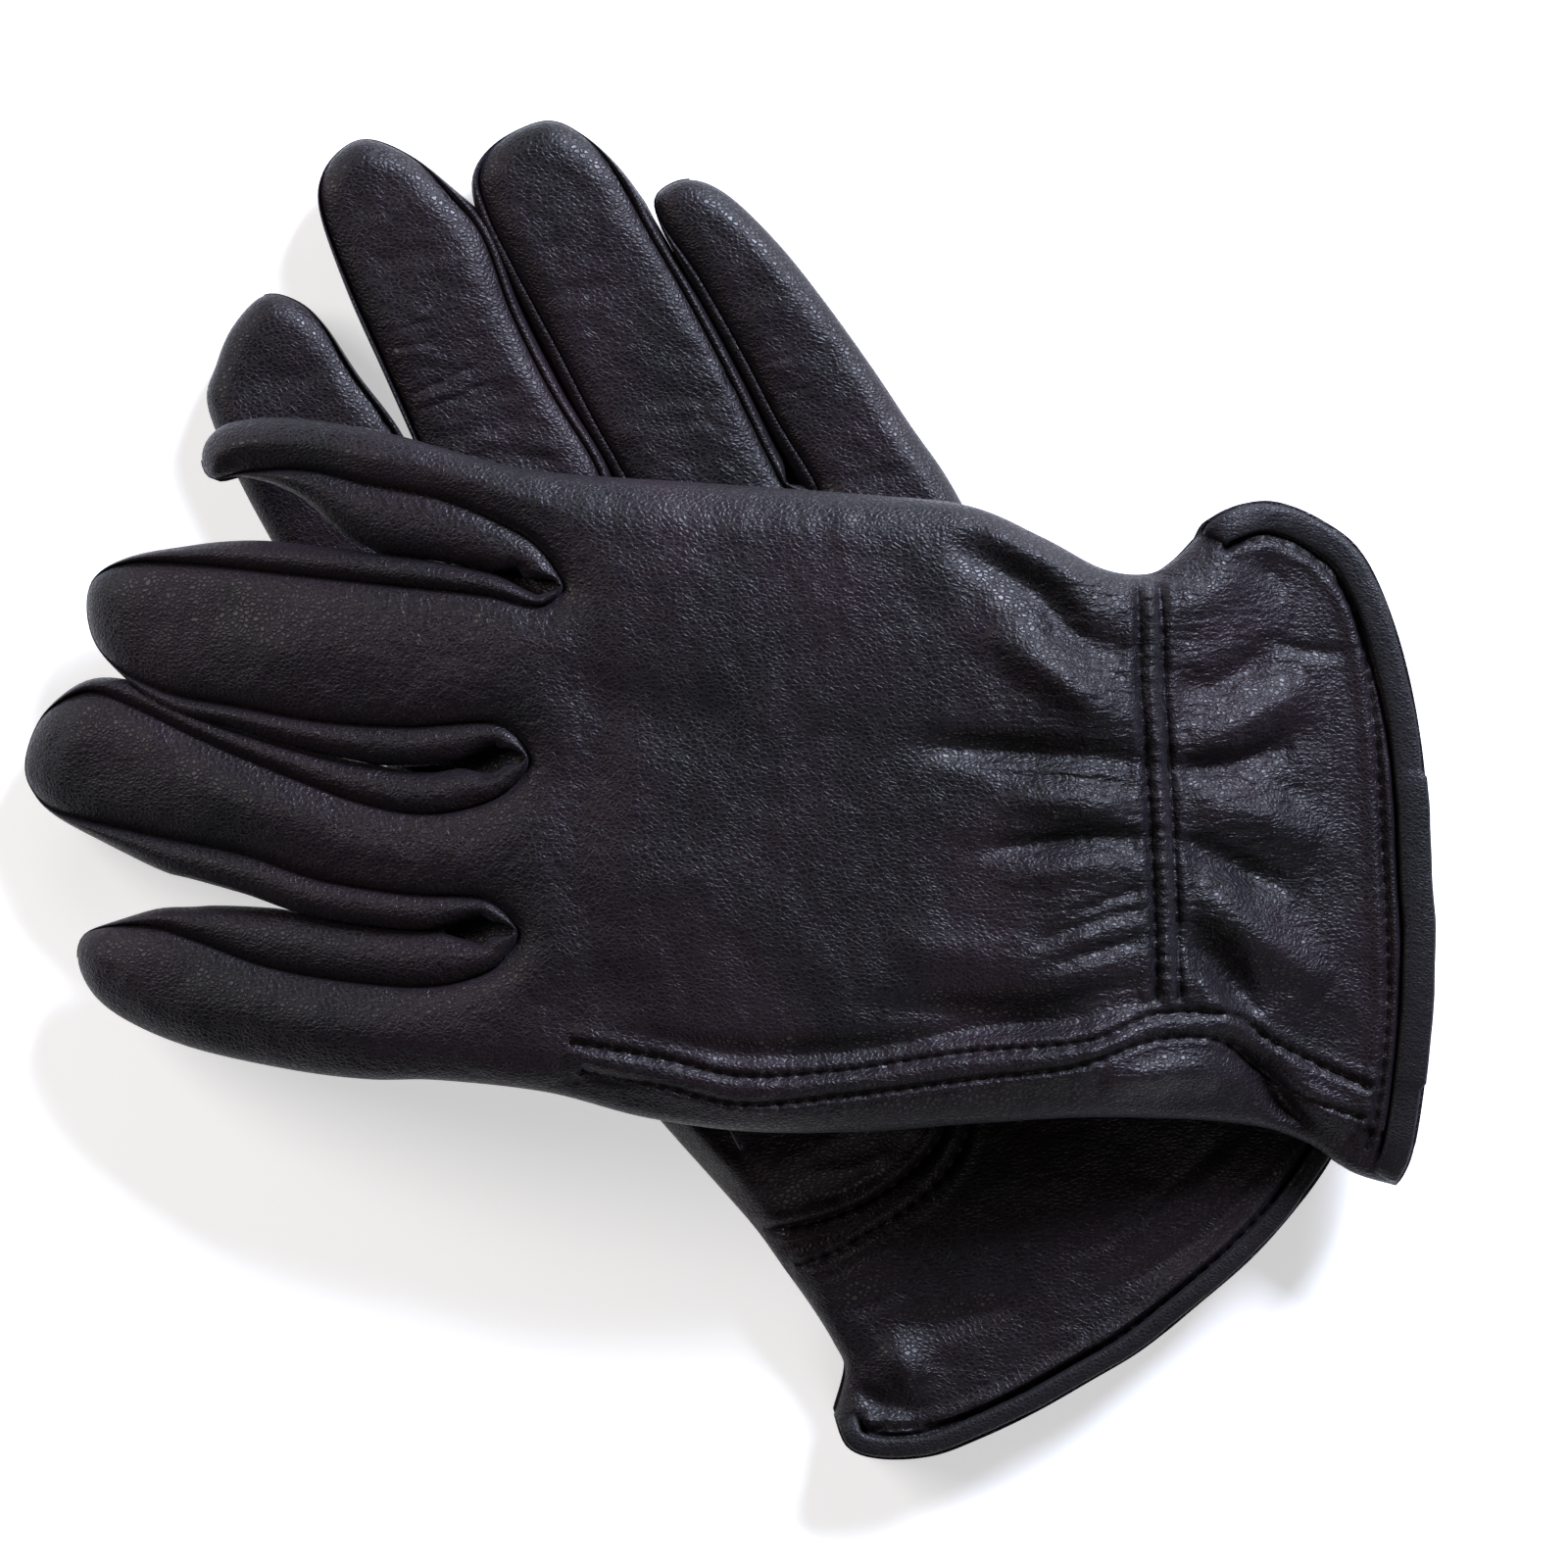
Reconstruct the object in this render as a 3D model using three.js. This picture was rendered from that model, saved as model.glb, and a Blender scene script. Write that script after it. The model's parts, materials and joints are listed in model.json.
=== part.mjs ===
// A pair of lined leather gloves, lying one across the other: the left glove palm up on the
// surface, the right glove back up on top of it, and both thumbs tucked between the two.
// Millimetres, +Z up. The origin is under the middle of the pair, on the surface it lies on.
import * as THREE from "three";

// ---- driving dimensions ----
const LEATHER = 1.1; // thickness of the outer leather
const LINING = 0.7; // thickness of the knitted lining
const ELASTIC = 0.7; // thickness of the gathering elastic
const CLEARANCE = 0.35; // between pieces that lie against each other
const THREAD = 0.45; // height of a row of stitches
const THREAD_LIFT = 0.6; // and how far it stands clear of the leather's facets
const THREAD_WIDTH = 0.9;
const FINGER_HEIGHT = 5.6; // half the height of a finger at its root
const THUMB_HEIGHT = 3.3; // half the height of a thumb pressed flat
const PLUMPNESS = 2.6; // exponent of every cross-section: 2 is an ellipse, more is boxier

const LINING_INSET = LEATHER + ELASTIC + 2 * CLEARANCE; // hand lining, clear of the elastic
const DIGIT_LINING_INSET = LEATHER + 2 * CLEARANCE;

// Stations along a hand, from the roots of the fingers (0) to the edge of the cuff (1).
const ELASTIC_FROM = 0.665;
const ELASTIC_TO = 0.715;
const PANEL_END = 0.965;
const BINDING_START = 0.968;
const HEM_ROW = 0.945;
const HAND_ROWS = [0, 0.15, 0.35, 0.55, ELASTIC_FROM, ELASTIC_TO, 0.8, 0.88, HEM_ROW, PANEL_END];
const HAND_HEIGHTS = [6, 7, 7.2, 6.6, 5.6, 5.6, 5.8, 5.6, 5.5, 5.5, 5.5]; // the last is the edge
const CUFF_BOW = 13; // how far the middle of the cuff's edge stands out past its corners

const LEFT_MIDDLE = 6.7; // height of the left glove's middle plane
const RIGHT_MIDDLE = 35.2; // height of the right glove's, over both thumbs
const RIGHT_CUFF_DROP = 15.6; // how far the right cuff sinks towards the surface
const LEFT_THUMB_MIDDLE = 17.5;
const RIGHT_THUMB_MIDDLE = 24.4;

const BLACK_LEATHER = { color: 0x26222a, roughness: 0.55, metalness: 0 };
const BLACK_KNIT = { color: 0x17161a, roughness: 0.95, metalness: 0 };
const BLACK_THREAD = { color: 0x121114, roughness: 0.8, metalness: 0 };
const BLACK_ELASTIC = { color: 0x1c1b1e, roughness: 0.85, metalness: 0 };

// The two side edges of each hand seen from above, from the finger roots to the cuff's edge.
const RIGHT_HAND = {
  indexEdge: [[-41, -52], [-13, -57], [22, -59], [60, -57], [88, -59], [116, -70]],
  littleEdge: [[-28, 57], [10, 53.5], [46, 49], [75, 38.5], [85, 45], [104, 51]],
  middle: (u) => RIGHT_MIDDLE - RIGHT_CUFF_DROP * THREE.MathUtils.smoothstep(u, 0.58, 0.92),
  underside: -Infinity,
};
const LEFT_HAND = {
  indexEdge: [[-62, 5], [-44, -26], [-17, -56], [8, -81], [20, -99], [21, -114]],
  littleEdge: [[38, 61], [56, 30], [74, -4], [86, -36], [98, -48], [117, -56]],
  middle: () => LEFT_MIDDLE,
  underside: 0,
};

// Fingers: where the root's middle is, the heading from +X, the length to the tip, the width at
// the root, the fall of the tip, the hidden stretch before the fold, and the sides that a
// fourchette closes (+1 is the side towards the index finger).
const RIGHT_FINGERS = {
  index: { root: [-40.6, -38.6], heading: 173, length: 78, width: 24.5, fall: 24, sleeve: 0, gussets: [-1] },
  middle: { root: [-37.4, -10.6], heading: 169, length: 92, width: 29.5, fall: 26, sleeve: 0, gussets: [1, -1] },
  ring: { root: [-33.9, 19.9], heading: 172, length: 83, width: 29, fall: 24, sleeve: 0, gussets: [1, -1] },
  little: { root: [-31.2, 45.9], heading: 170.5, length: 64, width: 21, fall: 17, sleeve: 0, gussets: [1] },
};
const LEFT_FINGERS = {
  index: { root: [-50.4, 11], heading: 112, length: 84, width: 25, fall: 0, sleeve: 66, gussets: [-1] },
  middle: { root: [-27.6, 32.2], heading: 112.7, length: 92, width: 28, fall: 0, sleeve: 42, gussets: [1, -1] },
  ring: { root: [1.6, 44], heading: 114, length: 84, width: 28, fall: 0, sleeve: 22, gussets: [1, -1] },
  little: { root: [24, 62.5], heading: 121, length: 57, width: 22, fall: 0, sleeve: 0, gussets: [1] },
};
const RIGHT_THUMB = { root: [62, -35], heading: 143, length: 72, width: 29, middle: RIGHT_THUMB_MIDDLE };
const LEFT_THUMB = { root: [17, -58], heading: 121, length: 76, width: 30, middle: LEFT_THUMB_MIDDLE };

const ROOT_STEP = 0.6; // finger pieces start this far past the hand's front edge
const SLEEVE_STEP = 3.2; // and the hidden sleeves this far
const DIGIT_ROWS = [0, 0.3, 0.6, 0.8, 0.92, 1];
const FLAT_SIDE = [-50, 50]; // a finger's back or palm strip, in degrees from its middle
const GUSSET_SIDE = [57, 123]; // a fourchette, in degrees from the top
const CLOSED_SIDE = 86; // how far a strip wraps an outer finger's open side
const PANEL_SIDE = 80; // how far a hand panel reaches round its edge

const glove = new THREE.Group();

// A power that keeps its sign, for the rounded-box cross-sections.
const signedPower = (value, power) => Math.sign(value) * Math.abs(value) ** power;
const radians = THREE.MathUtils.degToRad;
const crossSection = (angle) => [
  signedPower(Math.sin(radians(angle)), 2 / PLUMPNESS),
  signedPower(Math.cos(radians(angle)), 2 / PLUMPNESS),
];

// Straight stretches between the values given at the stations.
function between(stations, values, at) {
  let i = 0;
  while (i < stations.length - 2 && at > stations[i + 1]) i += 1;
  const share = (at - stations[i]) / (stations[i + 1] - stations[i]);
  return values[i] + share * (values[i + 1] - values[i]);
}

// A hand as a soft flattened sack: the point at station u and angle round it (0 up, 90 the
// index finger's side), moved in from the outer skin by inset.
function handForm({ indexEdge, littleEdge, middle, underside }) {
  const curve = (points) => new THREE.CatmullRomCurve3(points.map(([x, y]) => new THREE.Vector3(x, y, 0)));
  const near = curve(indexEdge);
  const far = curve(littleEdge);
  return (u, angle, inset) => {
    const a = near.getPoint(u);
    const b = far.getPoint(u);
    const centre = a.clone().add(b).multiplyScalar(0.5);
    const across = a.clone().sub(b).multiplyScalar(0.5);
    const along = new THREE.Vector3(across.y, -across.x, 0).normalize().negate();
    const [side, up] = crossSection(angle);
    const width = across.length() - inset;
    const height = between([...HAND_ROWS, 1], HAND_HEIGHTS, u) - inset;
    const point = centre.add(across.normalize().multiplyScalar(side * width));
    point.addScaledVector(along, CUFF_BOW * u ** 4 * (1 - side * side));
    point.z = Math.max(middle(u) + up * height, underside + inset);
    return point;
  };
}

// A finger or thumb: the point at a share u of its length and an angle round it.
function digitForm({ root, heading, length, width, fall = 0, middle, height }) {
  const along = new THREE.Vector3(Math.cos(radians(heading)), Math.sin(radians(heading)), 0);
  const across = new THREE.Vector3(-along.y, along.x, 0);
  const dome = width * 0.48; // length of the rounded tip
  return (u, angle, inset) => {
    const reach = u * (length - 1.6 * Math.max(inset, 0));
    const share = reach / length;
    const past = Math.max(0, (reach - length + dome) / (dome * 1.03));
    const round = Math.sqrt(1 - past * past);
    const [side, up] = crossSection(angle);
    const halfWidth = (width / 2) * (1 - 0.16 * share) * round - inset;
    const halfHeight = height * (1 - 0.12 * share) * round ** 0.8 - inset;
    const point = new THREE.Vector3(root[0], root[1], middle - fall * share);
    point.addScaledVector(along, reach);
    point.addScaledVector(across, side * halfWidth);
    point.z += up * halfHeight;
    return point;
  };
}

// A closed solid from rows of points: outer and inner skins, joined by rims. A ring closes round
// the form, and a tip closes its far end.
function shellGeometry(form, { rows, angles, inset = 0, thickness = LEATHER, ring = false, tip = false }) {
  const skins = [inset, inset + thickness].map((depth) =>
    rows.map((u) => angles.map((angle) => form(u, angle, depth))),
  );
  const triangles = [];
  const quad = (a, b, c, d) => triangles.push(a, b, c, a, c, d);
  const [outer, inner] = skins;
  const last = rows.length - 1;
  const columns = angles.length;
  const steps = ring ? columns : columns - 1;
  for (let i = 0; i < last; i += 1) {
    for (let j = 0; j < steps; j += 1) {
      const k = (j + 1) % columns;
      quad(outer[i][j], outer[i][k], outer[i + 1][k], outer[i + 1][j]);
      quad(inner[i][j], inner[i + 1][j], inner[i + 1][k], inner[i][k]);
    }
  }
  for (let j = 0; j < steps; j += 1) {
    const k = (j + 1) % columns;
    quad(outer[0][j], inner[0][j], inner[0][k], outer[0][k]);
    if (!tip) quad(outer[last][j], outer[last][k], inner[last][k], inner[last][j]);
  }
  if (tip) {
    for (let j = 1; j < columns - 1; j += 1) {
      triangles.push(outer[last][0], outer[last][j], outer[last][j + 1]);
      triangles.push(inner[last][0], inner[last][j + 1], inner[last][j]);
    }
  }
  if (!ring) {
    const end = columns - 1;
    for (let i = 0; i < last; i += 1) {
      quad(outer[i][0], outer[i + 1][0], inner[i + 1][0], inner[i][0]);
      quad(outer[i][end], inner[i][end], inner[i + 1][end], outer[i + 1][end]);
    }
  }
  return facing(triangles);
}

// Geometry from a list of corner points, turned to face outwards.
function facing(corners) {
  let volume = 0;
  for (let i = 0; i < corners.length; i += 3) {
    volume += corners[i].dot(corners[i + 1].clone().cross(corners[i + 2]));
  }
  const ordered = volume > 0 ? corners : corners.toReversed();
  const geometry = new THREE.BufferGeometry();
  const positions = ordered.flatMap((corner) => corner.toArray());
  geometry.setAttribute("position", new THREE.Float32BufferAttribute(positions, 3));
  geometry.computeVertexNormals();
  return geometry;
}

// A row of stitches as one flat bead that follows [u, angle] stations just clear of the form.
function threadGeometry(form, path, closed = false) {
  const foot = path.map(([u, angle]) => form(u, angle, -THREAD_LIFT));
  const crown = path.map(([u, angle]) => form(u, angle, -THREAD_LIFT - THREAD));
  const count = path.length;
  const ahead = (i) => (closed ? (i + 1) % count : Math.min(i + 1, count - 1));
  const behind = (i) => (closed ? (i - 1 + count) % count : Math.max(i - 1, 0));
  const sections = foot.map((point, i) => {
    const tangent = foot[ahead(i)].clone().sub(foot[behind(i)]);
    const side = tangent.cross(crown[i].clone().sub(point)).setLength(THREAD_WIDTH / 2);
    return [point.clone().sub(side), point.clone().add(side), crown[i].clone().add(side), crown[i].clone().sub(side)];
  });
  const triangles = [];
  const quad = (a, b, c, d) => triangles.push(a, b, c, a, c, d);
  for (let i = 0; i < (closed ? count : count - 1); i += 1) {
    for (let j = 0; j < 4; j += 1) {
      const k = (j + 1) % 4;
      quad(sections[i][j], sections[i][k], sections[ahead(i)][k], sections[ahead(i)][j]);
    }
  }
  if (!closed) {
    quad(...sections[0].toReversed());
    quad(...sections[count - 1]);
  }
  return facing(triangles);
}

// Evenly spaced values, ends included.
const spread = (from, to, steps) => Array.from({ length: steps + 1 }, (_, i) => from + ((to - from) * i) / steps);
const roundAngles = (count) => Array.from({ length: count }, (_, i) => (360 * i) / count);

function add(name, geometry, finish) {
  const mesh = new THREE.Mesh(geometry, new THREE.MeshStandardMaterial(finish));
  mesh.name = name;
  glove.add(mesh);
}

// Two stitch rows beside each other, joined by one turn at their far end.
function doubleRow(first, second) {
  return [...first, ...second.toReversed()];
}

// The hand: two leather panels, the lining, the gathering elastic, the bound cuff and its rows of
// stitches. backUp says which way the back of the hand faces.
function makeHand(side, hand, backUp) {
  const form = handForm(hand);
  const back = backUp ? 0 : 180;
  const palm = 180 - back;
  const panelAngles = (middle) => spread(middle - PANEL_SIDE, middle + PANEL_SIDE, 10);
  add(`${side}_back_panel`, shellGeometry(form, { rows: HAND_ROWS, angles: panelAngles(back) }), BLACK_LEATHER);
  add(`${side}_palm_panel`, shellGeometry(form, { rows: HAND_ROWS, angles: panelAngles(palm) }), BLACK_LEATHER);
  add(
    `${side}_hand_lining`,
    shellGeometry(form, {
      rows: HAND_ROWS,
      angles: roundAngles(18),
      inset: LINING_INSET,
      thickness: LINING,
      ring: true,
    }),
    BLACK_KNIT,
  );
  add(
    `${side}_wrist_elastic`,
    shellGeometry(form, {
      rows: [ELASTIC_FROM, ELASTIC_TO],
      angles: panelAngles(back).slice(2, -2),
      inset: LEATHER + CLEARANCE,
      thickness: ELASTIC,
    }),
    BLACK_ELASTIC,
  );
  add(
    `${side}_hem_binding`,
    shellGeometry(form, {
      rows: [BINDING_START, 1],
      angles: roundAngles(24),
      inset: -0.6,
      thickness: 2.8,
      ring: true,
    }),
    BLACK_LEATHER,
  );
  // The index finger's side is at 90 degrees, so the lapped side seam lies between it and the back.
  const seam = backUp ? 64 : 116;
  const seamRows = (angle) => HAND_ROWS.slice(0, -2).map((u) => [u, angle]);
  const wristRows = (u) => spread(back - 46, back + 46, 10).map((angle) => [u, angle]);
  add(`${side}_wrist_thread`, threadGeometry(form, doubleRow(wristRows(0.678), wristRows(0.702))), BLACK_THREAD);
  add(
    `${side}_side_thread`,
    threadGeometry(form, doubleRow(seamRows(seam), seamRows(backUp ? seam + 8 : seam - 8))),
    BLACK_THREAD,
  );
  add(
    `${side}_hem_thread`,
    threadGeometry(form, [...panelAngles(0), ...panelAngles(180)].map((angle) => [HEM_ROW, angle]), true),
    BLACK_THREAD,
  );
}

// One finger: a strip of leather above and below, fourchettes where it faces another finger, and
// its lining. A hidden stretch before the fold stays with the hand as a sleeve.
function makeFinger(side, name, finger, middle, backUp) {
  const form = digitForm({ ...finger, middle, height: FINGER_HEIGHT });
  const start = (finger.sleeve + ROOT_STEP) / finger.length;
  const rows = DIGIT_ROWS.map((row) => start + row * (1 - start));
  const openSide = finger.gussets.length === 1 ? -finger.gussets[0] : 0;
  const strip = (middleAngle) => {
    const [low, high] = FLAT_SIDE;
    const turned = middleAngle === 0 ? openSide : -openSide;
    const from = middleAngle + (turned < 0 ? -CLOSED_SIDE : low);
    const to = middleAngle + (turned > 0 ? CLOSED_SIDE : high);
    return spread(from, to, openSide ? 5 : 4);
  };
  const backAngle = backUp ? 0 : 180;
  const part = (piece) => `${side}_${name}_${piece}`;
  add(part("back"), shellGeometry(form, { rows, angles: strip(backAngle) }), BLACK_LEATHER);
  add(part("palm"), shellGeometry(form, { rows, angles: strip(180 - backAngle) }), BLACK_LEATHER);
  for (const gusset of finger.gussets) {
    const label = finger.gussets.length === 1 ? "fourchette" : gusset > 0 ? "fourchette_in" : "fourchette_out";
    const angles = GUSSET_SIDE.map((angle) => gusset * angle);
    add(part(label), shellGeometry(form, { rows: rows.slice(0, -1), angles: spread(...angles, 2) }), BLACK_LEATHER);
  }
  add(
    part("lining"),
    shellGeometry(form, {
      rows,
      angles: roundAngles(10),
      inset: DIGIT_LINING_INSET,
      thickness: LINING,
      ring: true,
      tip: true,
    }),
    BLACK_KNIT,
  );
  if (finger.sleeve > 0) {
    const sleeveRows = spread(SLEEVE_STEP / finger.length, finger.sleeve / finger.length, 2);
    add(part("sleeve"), shellGeometry(form, { rows: sleeveRows, angles: roundAngles(14), ring: true }), BLACK_LEATHER);
  }
}

// A thumb pressed flat: one folded piece of leather and its lining.
function makeThumb(side, thumb) {
  const form = digitForm({ ...thumb, height: THUMB_HEIGHT });
  add(
    `${side}_thumb`,
    shellGeometry(form, { rows: DIGIT_ROWS, angles: roundAngles(14), ring: true, tip: true }),
    BLACK_LEATHER,
  );
  add(
    `${side}_thumb_lining`,
    shellGeometry(form, {
      rows: DIGIT_ROWS.slice(0, -1),
      angles: roundAngles(10),
      inset: LEATHER + CLEARANCE,
      thickness: LINING,
      ring: true,
    }),
    BLACK_KNIT,
  );
}

makeHand("left", LEFT_HAND, false);
makeHand("right", RIGHT_HAND, true);
for (const [name, finger] of Object.entries(LEFT_FINGERS)) {
  makeFinger("left", name, finger, LEFT_MIDDLE, false);
}
for (const [name, finger] of Object.entries(RIGHT_FINGERS)) {
  makeFinger("right", name, finger, RIGHT_MIDDLE, true);
}
makeThumb("left", LEFT_THUMB);
makeThumb("right", RIGHT_THUMB);

// Stand the pair over the origin.
const box = new THREE.Box3().setFromObject(glove);
const middle = box.getCenter(new THREE.Vector3());
glove.position.set(-middle.x, -middle.y, -box.min.z);

export default glove;
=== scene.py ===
"""A pair of black leather gloves lying crossed: the left palm up, the right on top of it back up.

Lengths in this script are millimetres in the part's own frame until a mesh is made from them.
"""
import json

import bpy
import numpy as np
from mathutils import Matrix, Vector, noise
from mathutils.geometry import delaunay_2d_cdt


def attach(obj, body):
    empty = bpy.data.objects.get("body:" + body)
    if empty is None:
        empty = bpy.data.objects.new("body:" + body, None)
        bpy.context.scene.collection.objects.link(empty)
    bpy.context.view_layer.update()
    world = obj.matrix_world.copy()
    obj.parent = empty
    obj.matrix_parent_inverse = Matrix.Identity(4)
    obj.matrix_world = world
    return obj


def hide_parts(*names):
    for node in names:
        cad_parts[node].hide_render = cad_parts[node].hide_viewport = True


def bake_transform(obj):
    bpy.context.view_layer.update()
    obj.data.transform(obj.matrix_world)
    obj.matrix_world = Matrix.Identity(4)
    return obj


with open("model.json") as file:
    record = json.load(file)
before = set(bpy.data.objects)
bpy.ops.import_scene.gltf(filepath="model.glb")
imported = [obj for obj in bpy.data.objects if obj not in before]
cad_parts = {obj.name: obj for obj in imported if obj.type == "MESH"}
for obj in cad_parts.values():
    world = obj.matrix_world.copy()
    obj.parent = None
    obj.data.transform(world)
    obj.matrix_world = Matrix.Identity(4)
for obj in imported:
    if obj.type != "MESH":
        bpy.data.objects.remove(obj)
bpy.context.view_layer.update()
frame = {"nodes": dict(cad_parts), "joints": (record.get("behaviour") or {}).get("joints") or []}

MM = 0.001
LINING_DEPTH = 3.2  # the lining's surface lies this far inside the leather's outer face
GRID = 1.0  # spacing of the fine surface's points
FINE_GRID = 0.62  # and beside the gathered wrist
COARSE_GRID = 2.6
OUTLINE_STEP = 1.1
RIM_OFFSETS = (0.22, 0.6, 1.15, 1.9)  # rows of points that follow the outline, for its round edge
ROW_OFFSETS = (0, 0.42, -0.42, 0.9, -0.9, -1.55, 1.55)  # points beside each row of stitches
STITCH_PITCH = 3.0


# ---------------------------------------------------------------- curves and distances

def smooth(low, high, value):
    t = np.clip((value - low) / (high - low), 0, 1)
    return t * t * (3 - 2 * t)


def spline(points, step, closed=False):
    """Even samples of a smooth curve through the points, and each sample's place among them."""
    p = np.asarray(points, float)
    count = len(p)
    spans = count if closed else count - 1
    dense, places = [], []
    for i in range(spans):
        if closed:
            a, b, c, d = (p[(i + k) % count] for k in (-1, 0, 1, 2))
        else:
            a, b, c, d = p[max(i - 1, 0)], p[i], p[i + 1], p[min(i + 2, count - 1)]
        for t in np.linspace(0, 1, 24, endpoint=False):
            cubic = 2 * b + (c - a) * t + (2 * a - 5 * b + 4 * c - d) * t**2
            cubic = cubic + (3 * b - a - 3 * c + d) * t**3
            dense.append(cubic / 2)
            places.append(i + t)
    dense.append(p[0] if closed else p[-1])
    places.append(float(spans))
    dense = np.array(dense)
    run = np.concatenate([[0], np.cumsum(np.linalg.norm(np.diff(dense, axis=0), axis=1))])
    number = max(2, int(round(run[-1] / step)))
    marks = np.linspace(0, run[-1], number + 1)
    if closed:
        marks = marks[:-1]
    even = np.stack([np.interp(marks, run, dense[:, k]) for k in range(dense.shape[1])], axis=1)
    return even, np.interp(marks, run, places)


def measure(points, path):
    """Distance from each point to a path, the share of the path's length there, and the side."""
    path = np.asarray(path, float)[:, :2]
    a, b = path[:-1], path[1:]
    along = b - a
    length = np.linalg.norm(along, axis=1)
    run = np.concatenate([[0], np.cumsum(length)])
    best = np.full(len(points), np.inf)
    share = np.zeros(len(points))
    side = np.zeros(len(points))
    for start in range(0, len(points), 4000):
        chunk = points[start:start + 4000, None, :2] - a[None]
        t = np.clip((chunk * along).sum(2) / (length**2 + 1e-12), 0, 1)
        gap = np.linalg.norm(chunk - t[..., None] * along, axis=2)
        nearest = gap.argmin(1)
        rows = np.arange(len(nearest))
        part = slice(start, start + len(nearest))
        best[part] = gap[rows, nearest]
        share[part] = (run[nearest] + t[rows, nearest] * length[nearest]) / run[-1]
        offset = chunk[rows, nearest]
        cross = along[nearest, 0] * offset[:, 1] - along[nearest, 1] * offset[:, 0]
        side[part] = np.sign(cross)
    return best, share, side


def unit_tangents(path):
    """The direction of travel at each point of a path."""
    tangent = np.gradient(path, axis=0)
    return tangent / np.linalg.norm(tangent, axis=1, keepdims=True)


def inside(points, polygon):
    """Which points lie in a closed polygon."""
    x, y = points[:, 0], points[:, 1]
    within = np.zeros(len(points), bool)
    for (x0, y0), (x1, y1) in zip(polygon, np.roll(polygon, -1, axis=0)):
        if y0 == y1:
            continue
        crosses = (y0 > y) != (y1 > y)
        within ^= crosses & (x < (x1 - x0) * (y - y0) / (y1 - y0) + x0)
    return within


def ripple(points, scale, seed, stretch=(1.0, 1.0), octaves=3):
    """Smooth seeded unevenness between about -1 and 1, at a scale in millimetres."""
    offset = Vector((13.7 * seed, 7.3 * seed, 3.1 * seed))
    values = [
        noise.fractal(
            Vector((x / scale / stretch[0], y / scale / stretch[1], 0)) + offset, 0.9, 2.1, octaves
        )
        for x, y in points[:, :2]
    ]
    return np.array(values)


def fold(points, path, height, width):
    """A soft ridge, or a crease where height is negative, that dies away at both its ends."""
    distance, share, _ = measure(points, spline(path, 1.5)[0])
    return height * np.exp(-(distance / width) ** 2) * np.sin(np.pi * np.clip(share, 0.02, 0.98)) ** 0.7


# ---------------------------------------------------------------- the two gloves' outlines

# Each finger's outline runs from the side nearer the index finger's edge round its tip to the
# other side, so that all four join into one line from cuff to cuff. tip counts to the point at
# the fingertip. Each hem runs from the little finger's side of the cuff to the index finger's.
RIGHT = {
    "name": "right",
    "index": {"tip": 16, "points": [
        (122.5, -74.5), (114.5, -72), (106, -66.5), (93.5, -63), (69.5, -61.5), (48, -62.5),
        (27, -64), (7, -64), (-11.5, -61.5), (-29, -57), (-48, -55), (-60.5, -55), (-74.5, -53.5),
        (-92, -50), (-104, -45.5), (-111, -40.5), (-114, -34), (-111.5, -29), (-100.5, -28),
        (-92, -30.5), (-79.5, -35), (-65.5, -37.5), (-50, -38.5), (-39.5, -36), (-35, -32),
        (-34, -28)]},
    "middle": {"tip": 7, "points": [
        (-39.5, -23), (-53.5, -22), (-69, -19.5), (-83, -15), (-100.5, -11.5), (-116.5, -8),
        (-122.5, -3.5), (-123.5, 2.5), (-120, 10), (-111.5, 14), (-102.5, 11), (-92, 6), (-78, 0),
        (-62, -6), (-50, -8), (-39.5, -6), (-33.5, -2), (-32, 2.5)]},
    "ring": {"tip": 6, "points": [
        (-37.5, 8), (-53.5, 7.5), (-69, 8.5), (-83, 11), (-98, 14), (-108.5, 20), (-112, 27),
        (-111, 34), (-104, 37), (-92, 36.5), (-74.5, 34.5), (-57, 32.5), (-39.5, 30.5),
        (-30.5, 28.5), (-26.5, 30.5), (-26, 33)]},
    "little": {"tip": 7, "points": [
        (-29, 38), (-34, 42), (-46.5, 47.5), (-60.5, 50.5), (-71, 53), (-82.5, 53), (-89, 52),
        (-91, 55.5), (-89.5, 59.5), (-85, 62), (-74.5, 62.5), (-57, 59.5), (-43, 55.5),
        (-29, 52.5), (-1, 50.5), (27, 48.5), (45.5, 46.5), (58.5, 41), (69, 35.5), (77, 34.5),
        (82, 37), (86.5, 41.5)]},
    "hem": [
        (86.5, 41.5), (88.5, 44.5), (94, 47), (100.5, 47.5), (108.5, 44.5), (115.5, 39),
        (120.5, 29), (124.5, 15), (127, -1), (128, -20), (128.5, -30.5), (128, -44.5),
        (127, -57), (125, -69), (122.5, -74.5)],
    "bulge": {"index": (0, 10.5), "middle": (6.8, 7.2), "ring": (6.8, 5.5), "little": (12, 0)},
}
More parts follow.
